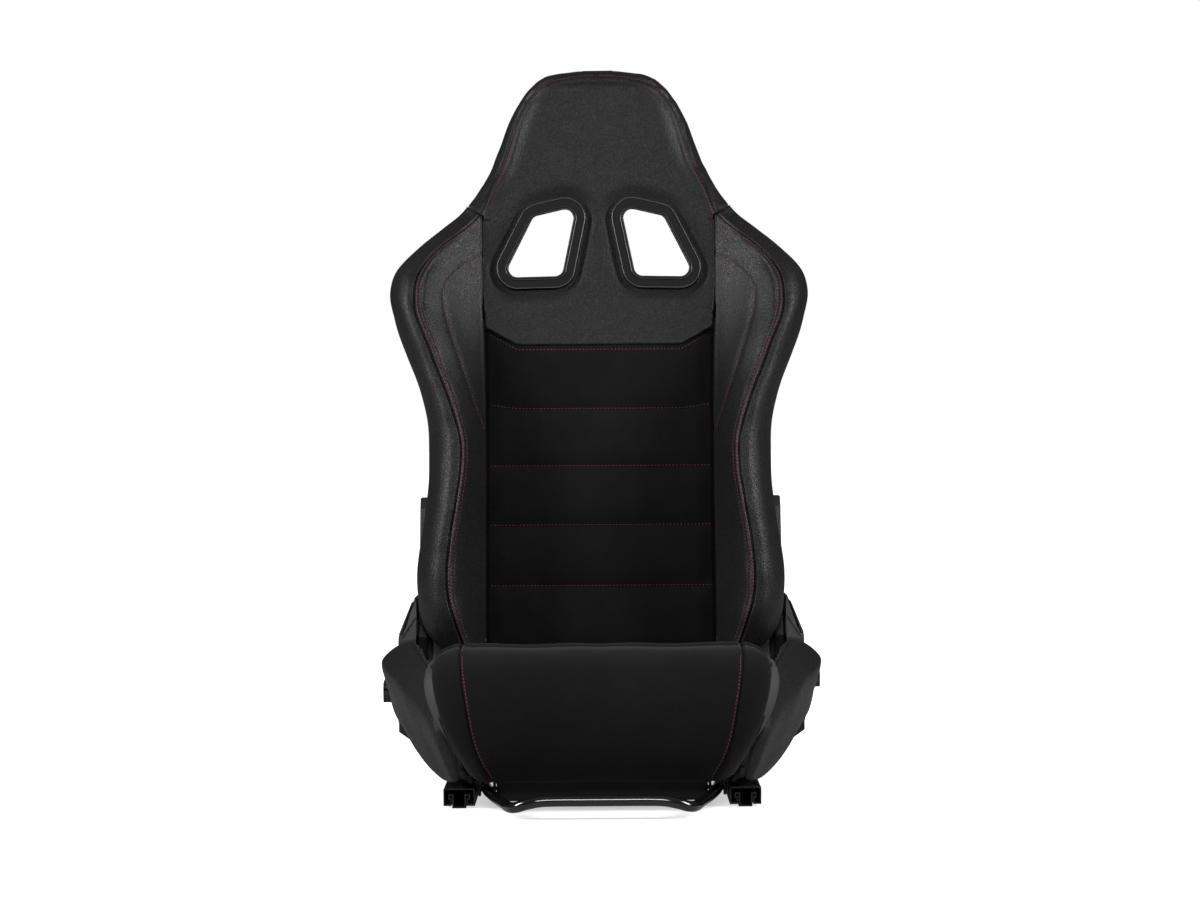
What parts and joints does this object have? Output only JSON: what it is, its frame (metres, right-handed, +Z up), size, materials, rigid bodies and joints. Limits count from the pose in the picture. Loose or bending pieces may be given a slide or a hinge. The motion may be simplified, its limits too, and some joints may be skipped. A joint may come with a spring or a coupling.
{
  "type": "racing seat",
  "caption": "Reclining bucket seat with harness slots, side bolsters, twin recliner levers and sliding floor rails released by a front bar.",
  "frame": {"origin": "centre of the four floor bolt holes, in the plane the rails stand on", "axes": "+Z up, the seat faces -Y, +X to the left of someone sitting in it"},
  "size_m": [0.577, 0.6835, 0.945],
  "materials": {
    "rail_steel": "satin black",
    "bare_steel": "zinc plated",
    "frame_paint": "semi-matt powder coat",
    "gloss_black": "gloss black",
    "cage_plastic": "matte grey",
    "cover_plastic": "fine moulded grain",
    "bezel_plastic": "semi-gloss black",
    "suede": "short black microsuede",
    "leatherette": "grained black leatherette",
    "rear_leatherette": "grained black leatherette over board"
  },
  "bodies": {
    "rails": {"lower_rail_left": "rail_steel", "lower_rail_right": "rail_steel", "rail_stop_blocks": "rail_steel"},
    "ball_cages": {"ball_cage_left": "cage_plastic", "ball_cage_right": "cage_plastic", "rail_balls": "bare_steel"},
    "seat": {"upper_rail_left": "rail_steel", "upper_rail_right": "rail_steel", "rail_stop_pins": "bare_steel", "rail_feet": "rail_steel", "rail_foot_bolts": "bare_steel", "bar_brackets": "rail_steel", "bar_return_springs": "bare_steel", "side_member_left": "frame_paint", "side_member_right": "frame_paint", "front_cross_tube": "frame_paint", "rear_cross_tube": "frame_paint", "seat_pan": "frame_paint", "cushion_nose": "suede", "cushion_pad": "suede", "cushion_bolster_left": "leatherette", "cushion_bolster_right": "leatherette", "recliner_plate_left": "frame_paint", "recliner_plate_right": "frame_paint", "recliner_ring_left": "bare_steel", "recliner_ring_right": "bare_steel", "recliner_spring_left": "bare_steel", "recliner_spring_right": "bare_steel", "recliner_cover_left": "cover_plastic", "recliner_cover_right": "cover_plastic", "cover_screws": "bare_steel"},
    "towel_bar": {"towel_bar": "gloss_black"},
    "lock_left": {"lock_comb_left": "bare_steel"},
    "lock_right": {"lock_comb_right": "bare_steel"},
    "backrest": {"recliner_hub_left": "bare_steel", "recliner_hub_right": "bare_steel", "recliner_arm_left": "frame_paint", "recliner_arm_right": "frame_paint", "arm_cover_left": "cover_plastic", "arm_cover_right": "cover_plastic", "back_cross_tubes": "frame_paint", "back_tube_left": "frame_paint", "back_tube_right": "frame_paint", "head_hoop": "frame_paint", "back_springs": "bare_steel", "back_pad": "suede", "head_pad": "leatherette", "back_bolster_left": "leatherette", "back_bolster_right": "leatherette", "rear_board": "rear_leatherette", "front_bezel_left": "bezel_plastic", "front_bezel_right": "bezel_plastic", "rear_bezel_left": "bezel_plastic", "rear_bezel_right": "bezel_plastic"},
    "release": {"sync_rod": "bare_steel", "lever_left": "gloss_black", "lever_right": "gloss_black", "lever_caps": "gloss_black"}
  },
  "joints": [
    {"name": "seat_slide", "type": "slide", "parent": "rails", "child": "seat", "axis": [0, 1, 0], "range_m": [-0.105, 0.105]},
    {"name": "cage_slide", "type": "slide", "parent": "rails", "child": "ball_cages", "axis": [0, 1, 0], "range_m": [-0.0525, 0.0525]},
    {"name": "bar_lift", "type": "hinge", "parent": "seat", "child": "towel_bar", "pos_m": [0, -0.15, 0.0175], "axis": [-1, 0, 0], "range_deg": [0, 6], "stiffness_Nm_per_rad": 3, "springref_deg": -17.19, "deforming": ["bar_return_springs"]},
    {"name": "lock_left_turn", "type": "hinge", "parent": "seat", "child": "lock_left", "pos_m": [-0.1455, -0.054, 0.0124], "axis": [0, 1, 0], "range_deg": [0, 6]},
    {"name": "lock_right_turn", "type": "hinge", "parent": "seat", "child": "lock_right", "pos_m": [0.1455, -0.054, 0.0124], "axis": [0, -1, 0], "range_deg": [0, 6]},
    {"name": "recline", "type": "hinge", "parent": "seat", "child": "backrest", "pos_m": [0, 0.245, 0.12], "axis": [-1, 0, 0], "range_deg": [-8, 50], "deforming": ["recliner_spring_left", "recliner_spring_right"]},
    {"name": "release_pull", "type": "hinge", "parent": "seat", "child": "release", "pos_m": [0, 0.245, 0.12], "axis": [-1, 0, 0], "range_deg": [0, 25], "stiffness_Nm_per_rad": 2, "springref_deg": -20.05}
  ],
  "couplings": [
    {"joint": "cage_slide", "follows": "seat_slide", "ratio": 0.5},
    {"joint": "lock_left_turn", "follows": "bar_lift", "ratio": 1},
    {"joint": "lock_right_turn", "follows": "bar_lift", "ratio": 1}
  ]
}
